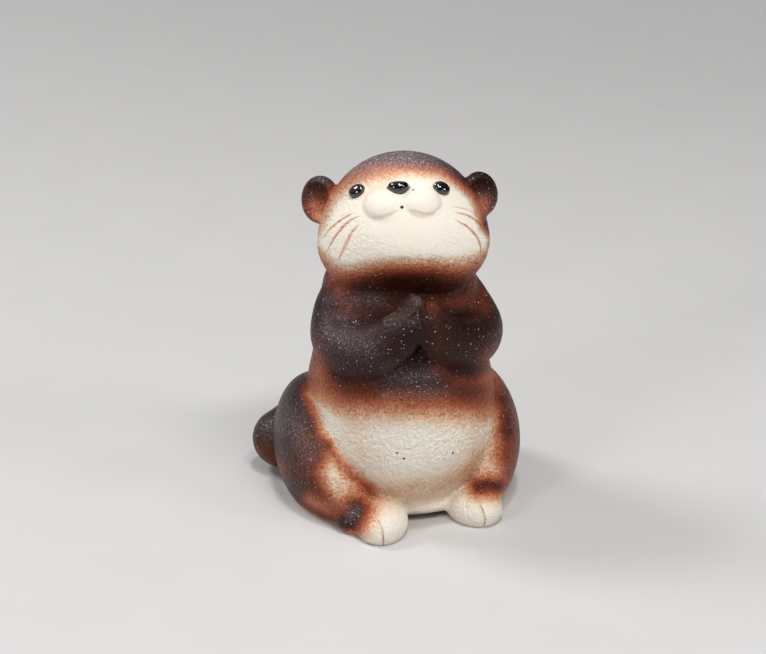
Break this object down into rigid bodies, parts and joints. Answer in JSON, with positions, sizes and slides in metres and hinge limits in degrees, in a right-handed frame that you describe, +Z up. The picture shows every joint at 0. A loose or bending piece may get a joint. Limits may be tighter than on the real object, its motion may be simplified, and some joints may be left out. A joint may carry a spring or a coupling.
{
  "type": "clay tea pet figurine",
  "caption": "Hollow clay tea pet shaped as a seated otter with its paws pressed together and its head tilted back, standing on a flat base.",
  "frame": {"origin": "middle of the footprint, on the flat base", "axes": "+Z up, -Y to the otter's front, +X to the otter's left"},
  "size_m": [0.0612, 0.0626, 0.084],
  "materials": {
    "brown_glaze": "satin dark brown iron wash on fired clay, with fine pale specks",
    "cream_slip": "matte cream slip on grogged clay, fading to rust at its edges",
    "black_glaze": "glossy black glaze"
  },
  "bodies": {
    "root": {"torso_shell": "brown_glaze", "head_shell": "cream_slip", "muzzle_pad_left": "cream_slip", "muzzle_pad_right": "cream_slip", "nose": "black_glaze", "eye_left": "black_glaze", "eye_right": "black_glaze", "ear_left": "brown_glaze", "ear_right": "brown_glaze", "arm_left": "brown_glaze", "arm_right": "brown_glaze", "haunch_left": "brown_glaze", "haunch_right": "brown_glaze", "foot_left": "cream_slip", "foot_right": "cream_slip", "tail": "brown_glaze"}
  },
  "joints": []
}
